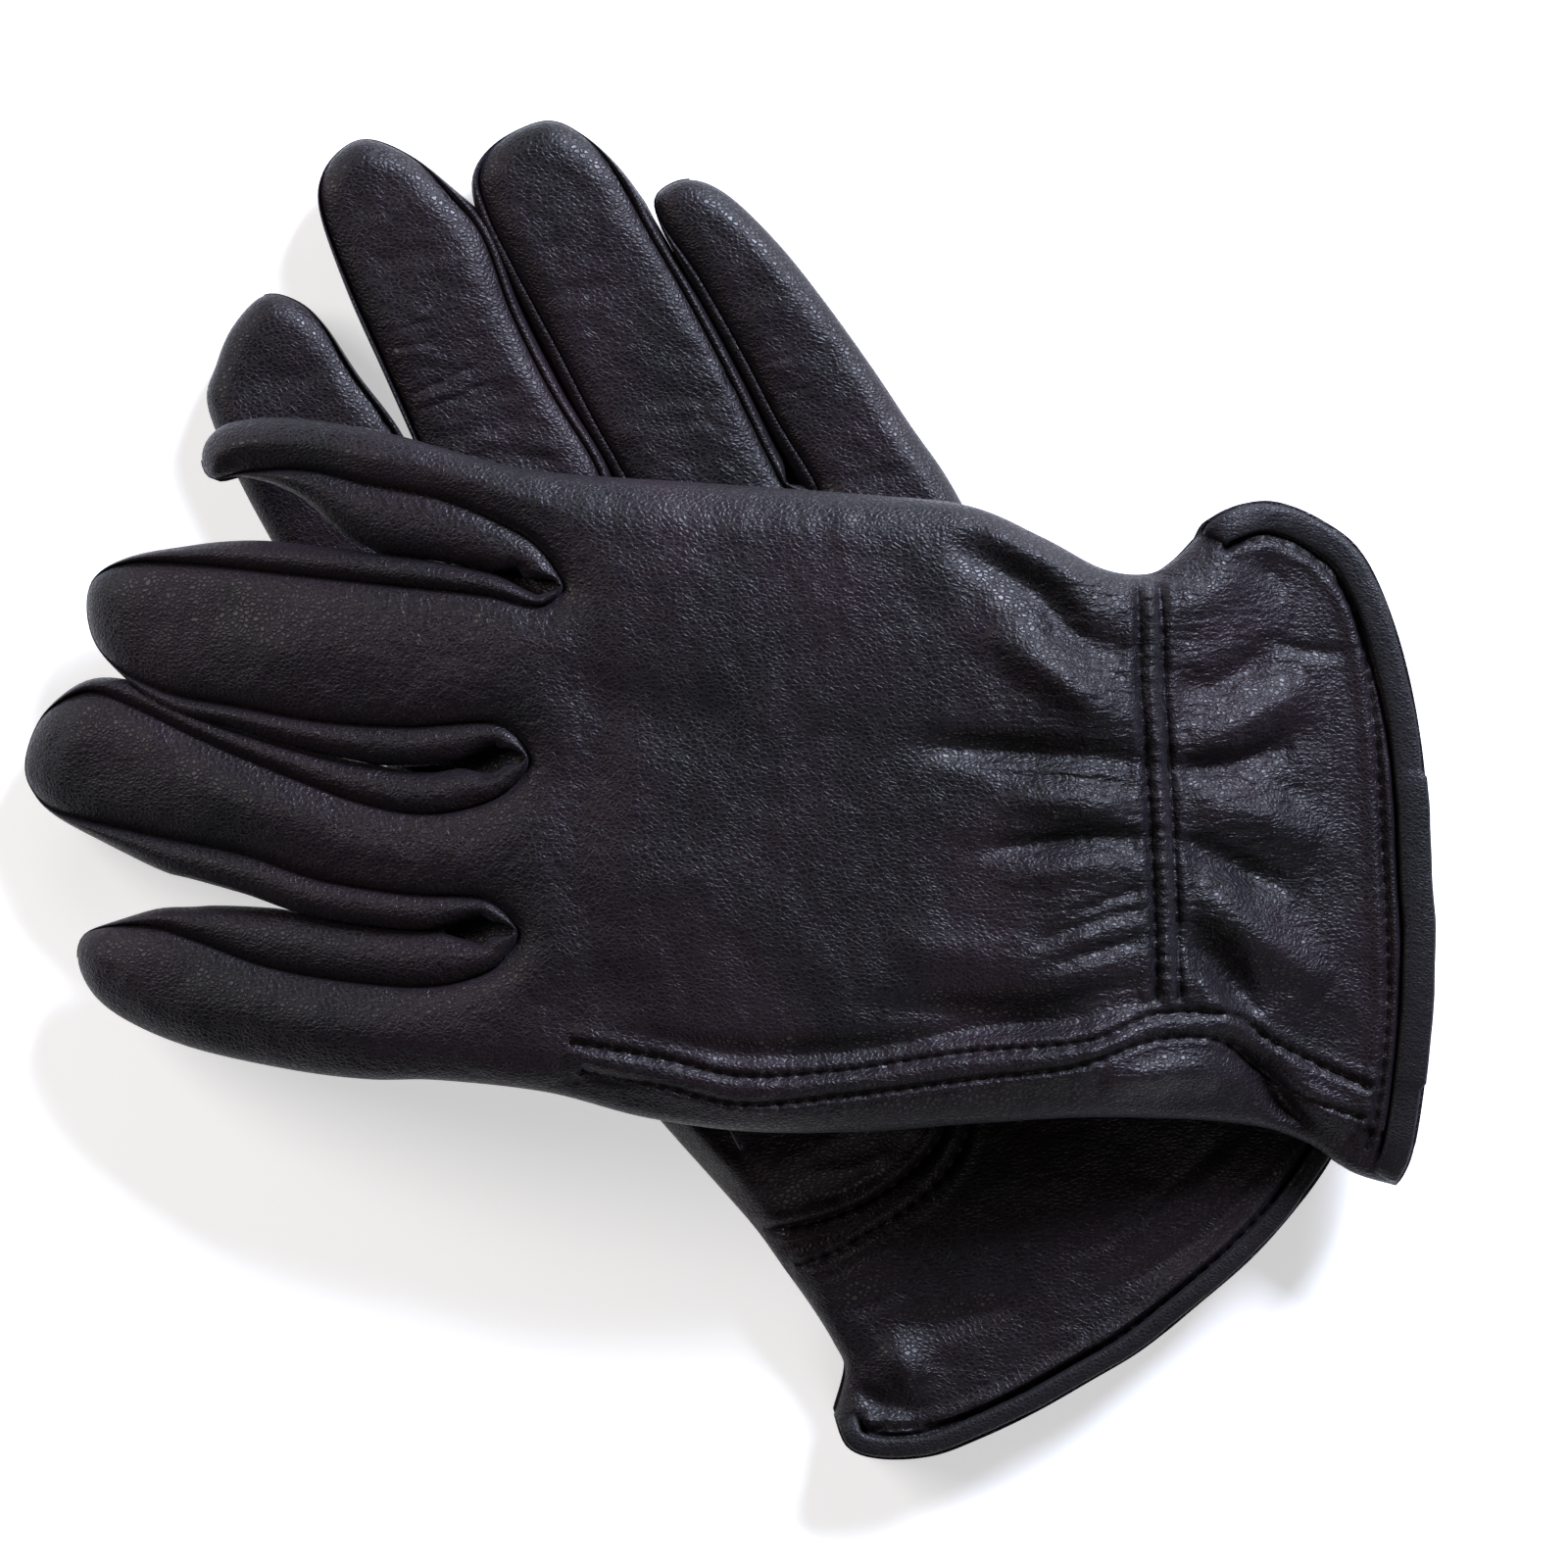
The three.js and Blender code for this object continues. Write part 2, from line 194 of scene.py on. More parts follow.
LEFT = {
    "name": "left",
    "index": {"tip": 17, "points": [
        (22, -116.5), (24, -108.5), (22, -103.5), (18, -97), (13, -90), (8, -83), (1.5, -75.5),
        (-10.5, -62), (-23.5, -46.5), (-41.5, -27), (-57, -2.5), (-66.5, 16.5), (-75.5, 34),
        (-85, 51.5), (-91, 65.5), (-89.5, 73), (-86.5, 80), (-81, 85.5), (-75, 84.5), (-70, 80),
        (-64.3, 71), (-56.3, 59.5), (-49, 43), (-43, 23.5)]},
    "middle": {"tip": 8, "points": [
        (-37.5, 23.5), (-44, 39.5), (-52.5, 58.5), (-58.3, 71.5), (-65.5, 87.5), (-70.3, 100.5),
        (-70, 107.5), (-66, 112.5), (-61, 113.5), (-53.5, 110), (-46.5, 103), (-41, 95.5),
        (-36, 82), (-29, 68), (-21, 55), (-15.5, 41)]},
    "ring": {"tip": 8, "points": [
        (-9, 41), (-16.5, 55), (-21, 63), (-27.7, 76), (-35.2, 90), (-40.4, 100.5), (-42, 107.5),
        (-38, 113.5), (-30, 117), (-23.5, 114.5), (-17.5, 108), (-11.5, 97), (-4.5, 85), (3.5, 70),
        (13, 51.5)]},
    "little": {"tip": 6, "points": [
        (19.5, 50), (12, 63), (5.2, 76), (-2.3, 89), (-8.6, 98), (-10, 103.5), (-4.5, 106.5),
        (2.5, 104), (11.5, 95.5), (20, 85), (29, 72.5), (36, 62), (42, 53.5), (48, 43),
        (58.5, 25.5), (71, 6), (82, -13), (92, -30.5), (100.5, -44.5), (109.5, -51.5),
        (115.5, -56)]},
    "hem": [
        (115.5, -56), (113, -66.5), (108.5, -74.5), (99, -86), (88.5, -95.5), (78, -104),
        (69, -109.5), (58.5, -115.5), (48, -120.5), (39.5, -123.5), (30.5, -124), (24.5, -122),
        (22, -116.5)],
    "bulge": {"index": (0, 0.7), "middle": (0.7, 4), "ring": (4, 4), "little": (4, 0)},
}
FINGERS = ("index", "middle", "ring", "little")


# The gathered wrists: the way along the glove to the cuff, the way across it, and the middle.
RIGHT_WRIST = (np.array([1.0, 0.0]), np.array([0.0, 1.0]), np.array([79.2, -3.0]))
LEFT_WRIST = (np.array([0.5, -0.866]), np.array([0.866, 0.5]), np.array([45.0, -68.0]))


def lay_out(glove):
    """The glove's outline as even samples, with the height of the seam's edge at each."""
    points, tips, crotches = [], [], []
    for finger in FINGERS:
        tips.append(len(points) + glove[finger]["tip"])
        points += glove[finger]["points"]
        crotches.append(len(points) - 1)
    side, place = spline(points, OUTLINE_STEP)
    hem = spline(glove["hem"], OUTLINE_STEP)[0]
    run = np.concatenate([[0], np.cumsum(np.linalg.norm(np.diff(side, axis=0), axis=1))])
    tip_runs = np.interp(tips, place, run)
    from_tip = np.abs(run[:, None] - tip_runs[None]).min(1)
    edge = glove["seam_edge"] * smooth(2, 20, from_tip)
    edge[run < tip_runs[0]] = 0
    edge[run > tip_runs[-1]] = 0
    glove.update(
        side=side, hem_line=hem, edge=edge, run=run, tip_runs=tip_runs,
        crotch_runs=np.interp(crotches[:-1], place, run),
        polygon=np.vstack([side, hem[1:-1]]),
    )
    towards = unit_tangents(hem)
    inward = np.stack([towards[:, 1], -towards[:, 0]], axis=1)
    gap = hem + (glove["binding"][0] + 0.5) * inward
    glove["gap"] = gap[inside(gap, glove["polygon"])][::6]
    glove["rows"] = glove["rows"] + [glove["gap"]]
    glove["folds"] = {
        finger: next(j for j in frame["joints"] if j["name"] == f"{glove['name']}_{finger}_fold")
        for finger in FINGERS
    }


# ---------------------------------------------------------------- the height of each surface

def right_middle(x, y):
    """The middle plane of the upper glove: flat over the thumbs, falling at fingers and cuff."""
    fingers = 27 * np.clip((-30 - x) / 92, 0, 1) ** 1.25
    cuff = 15.6 * smooth(61, 116, x)
    sides = 2.2 * smooth(26, 64, np.abs(y + 4)) * smooth(-60, -20, x)
    return 35.4 - fingers - cuff - sides


def left_middle(x, y):
    return np.full(len(x), 7.0)


def plumpness(glove, points):
    """Half the glove's thickness, more over the hand than in the fingers and at the cuff."""
    root = glove["root_distance"](points)
    wrist = glove["wrist_distance"](points)
    hand = glove["finger_height"] + 1.3 * smooth(-10, 25, root)
    return hand - 1.5 * np.exp(-(wrist / 9) ** 2) - 1.2 * smooth(5, 22, wrist)


def pillow(glove, points, shrink=0.0):
    """Height of the top surface above the middle plane: round at the edges, full in the middle."""
    distance, _, _ = measure(points, glove["side"])
    sparse = glove["side"][::3]
    weights = np.zeros(len(points))
    total = np.zeros(len(points))
    for sample, edge in zip(sparse, glove["edge"][::3]):
        weight = 1 / (((points[:, :2] - sample) ** 2).sum(1) + 1.5) ** 2
        weights += weight
        total += weight * edge
    edge = total / weights
    full = plumpness(glove, points)
    rise = np.sqrt(1 - (1 - np.clip(distance / glove["reach"], 0, 1)) ** 2)
    height = edge + (full - edge) * rise
    return np.maximum(height - shrink, 0.15), distance


RIGHT["root_distance"] = lambda p: p[:, 0] + 36 + 0.12 * p[:, 1]
RIGHT["wrist_distance"] = lambda p: p[:, 0] - 79 + 0.05 * p[:, 1]
LEFT["root_distance"] = lambda p: 0.5 * (p[:, 0] + 10) - 0.866 * (p[:, 1] - 30)
LEFT["wrist_distance"] = lambda p: 0.5 * (p[:, 0] - 45) - 0.866 * (p[:, 1] + 68)

RIGHT_FOLDS = [
    # beside the gathered rows, towards the fingers
    ([(46, 43), (58, 38.5), (69, 33)], 0.9, 4.5),
    ([(41, 41), (57, 31.5), (65, 23), (75.5, 19.5)], -2.3, 3.0),
    ([(48, 25.5), (64, 14), (76.5, 6.5)], 2.0, 3.3),
    ([(36, 4), (57, 3), (77, 1.3)], -2.4, 2.3),
    ([(48, -1), (62, -1.5), (76, -3.2)], -0.6, 0.8),
    ([(52, -5.5), (64, -6), (77, -8.2)], 1.5, 2.4),
    ([(47, -14.5), (66, -12.2), (77.5, -13)], -1.9, 1.8),
    ([(52, -19), (66, -17.5), (78, -17)], 0.8, 2.0),
    ([(62, -26.5), (70, -23), (78, -20.8)], -0.8, 1.0),
    ([(56, -31), (68, -26.5), (78, -24)], -0.9, 1.1),
    ([(58, -35), (68, -32), (78.5, -29)], -0.9, 1.2),
    ([(30, -42), (57, -43), (69, -39.5), (79, -36.5)], -2.0, 2.6),
    ([(30, -30), (48, -33), (68, -35.5)], 0.7, 4.0),
    ([(-16, -47), (6, -50), (24, -49.5), (44, -46.5), (64, -44.5), (78, -41), (92, -41)], -1.5, 2.0),
    ([(0, -63), (30, -61), (56, -58)], 0.7, 2.6),
    # and towards the cuff
    ([(96, 37), (99, 35), (103, 31)], -0.7, 2.0),
    ([(79, 30), (88, 30), (94, 37)], 0.9, 3.4),
    ([(81, 16.5), (89, 15), (100, 22.5)], -1.7, 2.5),
    ([(98, 23), (106, 21), (114, 20.5)], -0.7, 1.1),
    ([(81, 3.2), (92.5, 7.2), (107, 15.5)], 2.1, 3.2),
    ([(81, 0.5), (92.5, 1.2), (104, 5)], -2.0, 2.0),
    ([(83, -5.5), (96.5, -8), (109, -13.5)], 2.0, 3.5),
    ([(82, -12), (89, -15.4), (104, -22)], -2.2, 2.5),
    ([(84.5, -20.5), (96.5, -29), (110, -39.5)], 2.3, 3.5),
    ([(82, -27.5), (89, -33), (97, -45)], -2.4, 2.9),
    ([(83, -37), (90, -41), (96, -47)], 0.9, 2.2),
    ([(88, -46.5), (97, -53), (107, -65)], -2.4, 2.4),
    ([(68, -55), (80, -53.5), (91, -53)], 2.0, 3.0),
    ([(100, -50), (106, -57), (114, -66)], 1.0, 2.6),
    # slack over the knuckles and along the fingers
    ([(-30, 16), (-12, 10), (6, 6)], -0.6, 5.0),
    ([(-31, -14), (-16, -18), (2, -16)], 0.5, 6.0),
    ([(-36, -44), (-22, -40), (-8, -36)], -0.6, 5.0),
    ([(-24, 34), (-20, 8), (-24, -14), (-20, -36)], -0.7, 4.0),
    ([(-52, 20), (-70, 21), (-90, 24)], 0.5, 4.0),
    ([(-58, -15), (-76, -8), (-96, -2)], 0.6, 4.0),
    ([(-50, -47), (-72, -44), (-94, -39)], 0.5, 4.0),
]
LEFT_FOLDS = [
    ([(-82, 72), (-76, 70), (-68, 73)], -0.5, 2.2),
    ([(-62, 90), (-56, 92), (-48, 92)], -0.3, 2.2),
    ([(-66, 96), (-58, 99), (-52, 103)], 0.3, 2.0),
    ([(-30, 84), (-24, 86), (-16, 88)], -0.3, 2.0),
    ([(2, 84), (8, 86), (14, 88)], -0.3, 2.0),
    # the palm below the upper glove, beside the thumb's seam and at the cuff
    ([(30, -104), (35, -107.5), (38, -111)], 2.2, 3.4),
    ([(23, -107), (29, -113.5), (40, -116)], -1.5, 2.0),
    ([(33, -100), (44, -99), (56, -95)], -1.3, 2.6),
    ([(40, -92), (52, -88), (60, -80)], 0.8, 5.0),
    ([(64, -88), (78, -80), (92, -67)], -0.9, 1.5),
    ([(70, -95), (86, -85), (102, -69)], -1.0, 1.5),
    ([(68, -88), (82, -79), (97, -66)], 0.8, 1.8),
    ([(76, -97), (90, -87), (102, -74)], 0.7, 1.6),
    ([(30, -72), (24, -76), (16, -77)], -0.9, 1.4),
    ([(34, -68), (27, -71.5), (18, -72.5)], 0.8, 1.6),
    ([(2, -66), (6, -70), (8, -76)], -0.6, 1.3),
    ([(14, -94), (24, -92), (34, -86)], 0.8, 2.2),
    ([(16, -98), (28, -96), (38, -90)], -0.7, 2.0),
]
LEFT_CREASES = [
    [(-59, 66.5), (-51, 68.5), (-41, 73.5)],
    [(-57.5, 63.5), (-48, 66), (-38, 70.5)],
    [(-64, 80), (-57, 79), (-50, 81)],
    [(-63, 76), (-56, 75.5), (-48, 78)],
    [(1, 69), (7, 72), (16, 75)],
    [(4, 64), (11, 67), (19, 69)],
    [(-85, 58), (-78, 56), (-70, 60)],
]
LEFT_WRINKLED = [((-57, 80), 13), ((-45, 58), 12), ((-24, 58), 14), ((6, 62), 14), ((30, 50), 12)]
RIGHT_ROWS = {
    "wrist_a": [(75, 33.5), (75.6, 26), (75.6, 14), (76.6, 4), (77.4, -8), (78.3, -25), (78.6, -41)],
    "wrist_b": [(79, 33), (79.6, 26), (79.8, 15), (80.6, 4), (81.4, -8), (82.2, -25), (82.6, -41)],
    "side_a": [(-25, -48), (-8, -51), (6, -54), (24, -53), (44, -50), (66, -48), (78, -43.5),
               (92, -43.5), (99, -48), (109, -53), (118, -57)],
    "side_b": [(-23, -53), (-8, -56), (6, -59), (24, -57.5), (47, -54.5), (64, -52.5), (78, -48),
               (90, -48), (97, -53), (107, -59), (117, -62.5)],
    "hem": [(90.5, 39.6), (99, 40.8), (103.4, 39.4), (108.6, 36.4), (113.3, 30.2), (116.2, 20.6),
            (118.2, 8), (119, -4.5), (120.2, -28.5), (120.5, -41.5), (119.2, -57), (117.2, -68)],
}
LEFT_ROWS = {
    "thumb_a": [(9, -82.8), (18.5, -81.5), (29, -77.3), (38.3, -70), (42, -62), (38, -50)],
    "thumb_b": [(15, -89.5), (21, -87.5), (29, -83), (38, -77), (44.5, -69), (46.5, -61), (44, -50)],
    "hem": [(27, -118.5), (39.5, -118), (50, -114.5), (62, -108.5), (74.5, -101.5), (86.5, -92.5),
            (97, -82.5), (106, -71), (110, -60)],
}
LAP_STEP = 0.9  # how far the back's lapped edge stands above the palm's leather


def stitched_groove(points, path, depth=1.1, width=0.62):
    """The puckered line that a row of stitches pulls into soft leather."""
    curve = spline(path, 0.6)[0]
    length = np.linalg.norm(np.diff(curve, axis=0), axis=1).sum()
    distance, share, _ = measure(points, curve)
    pucker = 0.8 + 0.2 * np.cos(2 * np.pi * share * length / STITCH_PITCH)
    shoulder = 0.45 * depth * np.exp(-((distance - 1.8) / 1.0) ** 2)
    groove = -depth * pucker * np.exp(-(distance / width) ** 2)
    ends = (share > 0.002) & (share < 0.998)
    return np.where(ends, groove + shoulder, 0)


def binding_gap(points, path):
    """The leather dips beside the binding and swells a little before its row of stitches."""
    distance = measure(points, spline(path, 1.0)[0])[0]
    return 0.4 * np.exp(-((distance - 1.5) / 0.8) ** 2) - 1.5 * np.exp(-(distance / 0.75) ** 2)


def right_details(points):
    x, y = points[:, 0], points[:, 1]
    rise = binding_gap(points, RIGHT["gap"])
    for path, height, width in RIGHT_FOLDS:
        rise += fold(points, path, 1.42 * height, 1.12 * width)
    for path in RIGHT_ROWS.values():
        rise += stitched_groove(points, path)
    across = RIGHT["wrist_distance"](points)
    gathered = smooth(-47, -38, y) * (1 - smooth(30, 38, y))
    near = np.exp(-(across / 12) ** 2) * (1 - np.exp(-(across / 3) ** 2))
    pleats = ripple(points, 3.2, 5, stretch=(3.5, 1.0), octaves=2)
    rise += 0.25 * pleats * near * gathered
    crumples = ripple(points, 1.7, 6, stretch=(3.6, 1.0), octaves=2)
    rise += 0.24 * crumples * np.exp(-(across / 24) ** 2) * smooth(1.5, 5, np.abs(across)) * gathered
    ladder = np.cos(2 * np.pi * (y + 0.5 * np.sin(y)) / 2.3) * np.exp(-(across / 1.5) ** 4) * gathered
    rise += 0.24 * ladder
    rise += 0.5 * np.exp(-(across / 1.7) ** 4) * gathered
    lap = spline([(-40, -58)] + RIGHT_ROWS["side_b"] + [(126, -66)], 1.0)[0]
    distance, _, side = measure(points, lap)
    below = (side < 0) & (x > -38)
    rise -= LAP_STEP * np.where(below, smooth(0.8, 1.5, distance), 0)
    creases = ripple(points, 9, 2, stretch=(0.8, 1.4))
    rise += 0.3 * creases + 0.5 * ripple(points, 30, 3)
    fine = ripple(points, 2.4, 8, stretch=(0.8, 1.7))
    rise += 0.1 * fine * (0.5 + np.exp(-(across / 22) ** 2))
    return rise


def left_details(points):
    rise = binding_gap(points, LEFT["gap"])
    for path, height, width in LEFT_FOLDS:
        rise += fold(points, path, height, width)
    for path in LEFT_ROWS.values():
        rise += stitched_groove(points, path)
    seam = spline(LEFT_ROWS["thumb_a"], 1.0)[0]
    distance, _, side = measure(points, seam)
    towards_thumb = (side > 0) * (1 - smooth(18, 36, distance))
    rise += towards_thumb * (2.6 * smooth(0, 14, distance) + 0.7 * smooth(0.3, 1.0, distance))
    for path in LEFT_CREASES:
        rise += fold(points, path, -0.3, 0.55)
    for centre, size in LEFT_WRINKLED:
        near = np.exp(-(((points[:, :2] - centre) ** 2).sum(1)) / size**2)
        rise += 0.26 * near * ripple(points, 2.6, 15, stretch=(1.6, 0.7), octaves=2)
    rise += 0.3 * ripple(points, 9, 12, stretch=(1.2, 0.9)) + 0.6 * ripple(points, 30, 13)
    rise += 0.09 * ripple(points, 2.4, 14)
    return rise


def plain_details(points):
    return 0.25 * ripple(points, 12, 21) + 0.4 * ripple(points, 32, 22)


RIGHT.update(
    middle_plane=right_middle, top_details=right_details, floor=-1e3, drop=0.0,
    seam_edge=2.3, reach=9.5, finger_height=5.6, binding=(5.0, 2.4, (-56.5, -1.5)),
    rows=list(RIGHT_ROWS.values()), fine_zone=((50, -46), (112, 38)),
)
LEFT.update(
    middle_plane=left_middle, top_details=left_details, floor=0.12, drop=5.0,
    seam_edge=2.1, reach=5.5, finger_height=4.9, binding=(3.6, 2.4, (-94, -140)),
    rows=list(LEFT_ROWS.values()) + LEFT_CREASES, fine_zone=((4, -98), (50, -60)),
)


def surface(glove, points, top=True, shrink=0.0, details=True):
    """Height of a glove's upper or lower leather over each point."""
    height, distance = pillow(glove, points, shrink)
    if details:
        change = glove["top_details"](points) if top else plain_details(points)
        height = height + change * smooth(0.3, 4.5, distance)
    # an inner layer may sink deeper, so that it doesn't show through a deep fold
    height = np.maximum(height, 0.1 - 0.25 * shrink)
    middle = glove["middle_plane"](points[:, 0], points[:, 1])
    if top:
        return middle + height
    return np.maximum(middle - 0.9 * height, glove["floor"] + shrink)


# ---------------------------------------------------------------- meshes

def make_object(name, vertices, faces, body, slot, normals=None):
    """A mesh object from millimetres, riding on a body, in a material slot's finish."""
    mesh = bpy.data.meshes.new(name)
    mesh.from_pydata((np.asarray(vertices) * MM).tolist(), [], [list(map(int, f)) for f in faces])
    mesh.polygons.foreach_set("use_smooth", [True] * len(mesh.polygons))
    if normals is not None:
        mesh.normals_split_custom_set_from_vertices(normals.tolist())
    piece = bpy.data.objects.new(name, mesh)
    bpy.context.scene.collection.objects.link(piece)
    mesh.materials.append(MATERIALS[slot])
    if body:
        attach(piece, body)
    return piece


def grid_quads(rows, count):
    """The faces of a sheet whose points run along its rows."""
    return [
        (k * count + i, k * count + i + 1, (k + 1) * count + i + 1, (k + 1) * count + i)
        for k in range(rows - 1) for i in range(count - 1)
    ]


def vertex_normals(vertices, faces):
    corners = vertices[faces]
    cross = np.cross(corners[:, 1] - corners[:, 0], corners[:, 2] - corners[:, 0])
    normals = np.zeros_like(vertices)
    for k in range(3):
        np.add.at(normals, faces[:, k], cross)
    return normals / (np.linalg.norm(normals, axis=1, keepdims=True) + 1e-12)


def triangular_grid(low, high, spacing):
    rows = []
    for j, y in enumerate(np.arange(low[1], high[1], spacing * 0.866)):
        xs = np.arange(low[0] + (j % 2) * spacing / 2, high[0], spacing)
        rows.append(np.stack([xs, np.full(len(xs), y)], axis=1))
    return np.vstack(rows)


def clear_of(points, rows):
    """The points that don't lie among a row's own."""
    for path in rows:
        points = points[measure(points, spline(path, 1.0)[0])[0] > ROW_OFFSETS[-1] + 0.35]
    return points


def row_points(rows, polygon, closed):
    """Close points along each row of stitches, so that its groove keeps its shape."""
    points = []
    for path in rows:
        curve = spline(path, 0.55)[0]
        tangent = unit_tangents(curve)
        across = np.stack([-tangent[:, 1], tangent[:, 0]], axis=1)
        points += [curve + offset * across for offset in ROW_OFFSETS]
    points = np.vstack(points)
    return points[inside(points, polygon) & (measure(points, closed)[0] > 0.5)]


def plan_mesh(glove, spacing, offsets, rows=()):
    """Points and triangles that fill the glove's outline seen from above."""
    polygon = glove["polygon"]
    tangent = np.roll(polygon, -1, axis=0) - np.roll(polygon, 1, axis=0)
    tangent /= np.linalg.norm(tangent, axis=1, keepdims=True)
    inward = np.stack([tangent[:, 1], -tangent[:, 0]], axis=1)
    closed = np.vstack([polygon, polygon[:1]])
    rings = [polygon]
    for offset in offsets:
        ring = polygon + offset * inward
        keep = (measure(ring, closed)[0] > 0.93 * offset) & inside(ring, polygon)
        rings.append(clear_of(ring[keep], rows))
    grid = triangular_grid(polygon.min(0), polygon.max(0), spacing)
    if rows:
        low, high = glove["fine_zone"]
        beyond = ((grid < low) | (grid > high)).any(1)
        grid = np.vstack([grid[beyond], triangular_grid(low, high, FINE_GRID)])
    grid = grid[inside(grid, polygon)]
    rim = offsets[-1] + 0.6 * spacing if offsets else 0.6 * spacing
    grid = clear_of(grid[measure(grid, closed)[0] > rim], rows)
    points = np.vstack(rings + [grid] + ([row_points(rows, polygon, closed)] if rows else []))
    count = len(polygon)
    edges = [(i, (i + 1) % count) for i in range(count)]
    out = delaunay_2d_cdt([Vector(p) for p in points], edges, [], 1, 1e-5)
    plan = np.array([tuple(v) for v in out[0]])
    faces = np.array([f for f in out[2] if len(f) == 3])
    return plan, faces


def finger_of(glove, points):
    """Which finger each point is past the fold of, or -1 on the hand."""
    _, share, _ = measure(points, glove["side"])
    owner = np.searchsorted(glove["crotch_runs"], share * glove["run"][-1])
    for number, finger in enumerate(FINGERS):
        joint = glove["folds"][finger]
        pivot = np.array(joint["pos_m"][:2]) / MM
        axis = np.array(joint["axis"][:2])
        ahead = np.array([-axis[1], axis[0]])
        owner[(owner == number) & ((points[:, :2] - pivot) @ ahead <= 0)] = -1
    return owner


def bend_with(piece):
    """The piece's placement is baked into its mesh."""
    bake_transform(piece)


def split_by_body(glove, name, vertices, faces, slot, normals):
    """One piece on the hand and one on each finger, with the shading of the whole."""
    owner = finger_of(glove, vertices[faces].mean(1))
    side = glove["name"]
    pieces = {}
    for number in range(-1, len(FINGERS)):
        part = faces[owner == number]
        if not len(part):
            continue
        used, index = np.unique(part, return_inverse=True)
        index = index.reshape(part.shape)
        finger = FINGERS[number] if number >= 0 else None
        label = f"{side}_{finger}_{name}" if finger else f"{side}_hand_{name}"
        body = None if finger else f"{side}_hand"
        piece = make_object(label, vertices[used], index, body, slot, normals[used])
        if finger:
            bend_with(piece)
        pieces[finger] = piece
    return pieces


def make_skin(glove):
    """The two leathers that make the glove's faces: back and palm, fingers and hand."""
    side = glove["name"]
    plan, faces = plan_mesh(glove, GRID, RIM_OFFSETS, glove["rows"])
    back_is_top = side == "right"
    for top in (True, False):
        heights = surface(glove, plan, top=top)
        vertices = np.column_stack([plan, heights])
        turned = faces if top == counterclockwise(plan, faces) else faces[:, ::-1]
        normals = vertex_normals(vertices, turned)
        face = "back" if top == back_is_top else "palm"
        pieces = split_by_body(glove, f"{face}_leather", vertices, turned, "leather", normals)
        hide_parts(f"{side}_{face}_panel", *sleeves(glove, face))
        for finger in FINGERS:
            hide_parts(f"{side}_{finger}_{face}")


def sleeves(glove, face):
    """The hidden sleeves go with the palm's leather on the lower glove."""
    if glove["name"] == "right" or face == "back":
        return []
    return [f"left_{finger}_sleeve" for finger in ("index", "middle", "ring")]


def counterclockwise(plan, faces):
    a, b, c = (plan[faces[0, k]] for k in range(3))
    return (b[0] - a[0]) * (c[1] - a[1]) - (b[1] - a[1]) * (c[0] - a[0]) > 0


def make_lining(glove):
    """The knitted lining, one layer inside the leather."""
    side = glove["name"]
    plan, faces = plan_mesh(glove, COARSE_GRID, (0.9,))
    inner = 0.99 * (plan - plan.mean(0)) + plan.mean(0)
    for top in (True, False):
        heights = surface(glove, plan, top=top, shrink=LINING_DEPTH, details=top)
        vertices = np.column_stack([inner, heights])
        turned = faces if top == counterclockwise(plan, faces) else faces[:, ::-1]
        normals = vertex_normals(vertices, turned)
        label = "lining" if top else "lining_below"
        pieces = split_by_body(glove, label, vertices, turned, "knit_lining", normals)
        if top:
            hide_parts(f"{side}_hand_lining")
            for finger in FINGERS:
                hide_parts(f"{side}_{finger}_lining")


def fourchette_bulge(glove, number, which, chosen, from_tip):
    """How far the strip stands out, which meets the next finger's strip where the two are near."""
    crotch = glove["crotch_runs"][number - 1 + which]
    neighbour = number - 1 + 2 * which
    beyond = glove["tip_runs"][neighbour]
    low, high = min(crotch, beyond), max(crotch, beyond)
    opposite = glove["side"][(glove["run"] >= low) & (glove["run"] <= high)]
    samples = glove["side"][chosen]
    gap = np.sqrt(((samples[:, None] - opposite[None]) ** 2).sum(2).min(1))
    from_crotch = np.abs(glove["run"][chosen] - crotch)
    width = np.interp(9, np.sort(from_crotch), gap[np.argsort(from_crotch)])
    gap = np.maximum(gap, 0.85 * width * smooth(-1, 5, from_crotch))
    own = glove["bulge"][FINGERS[number]][which]
    other = glove["bulge"][FINGERS[neighbour]][1 - which]
    share = own / (own + other)
    return np.minimum(own * smooth(5, 42, from_tip), 0.985 * share * gap) + 0.2


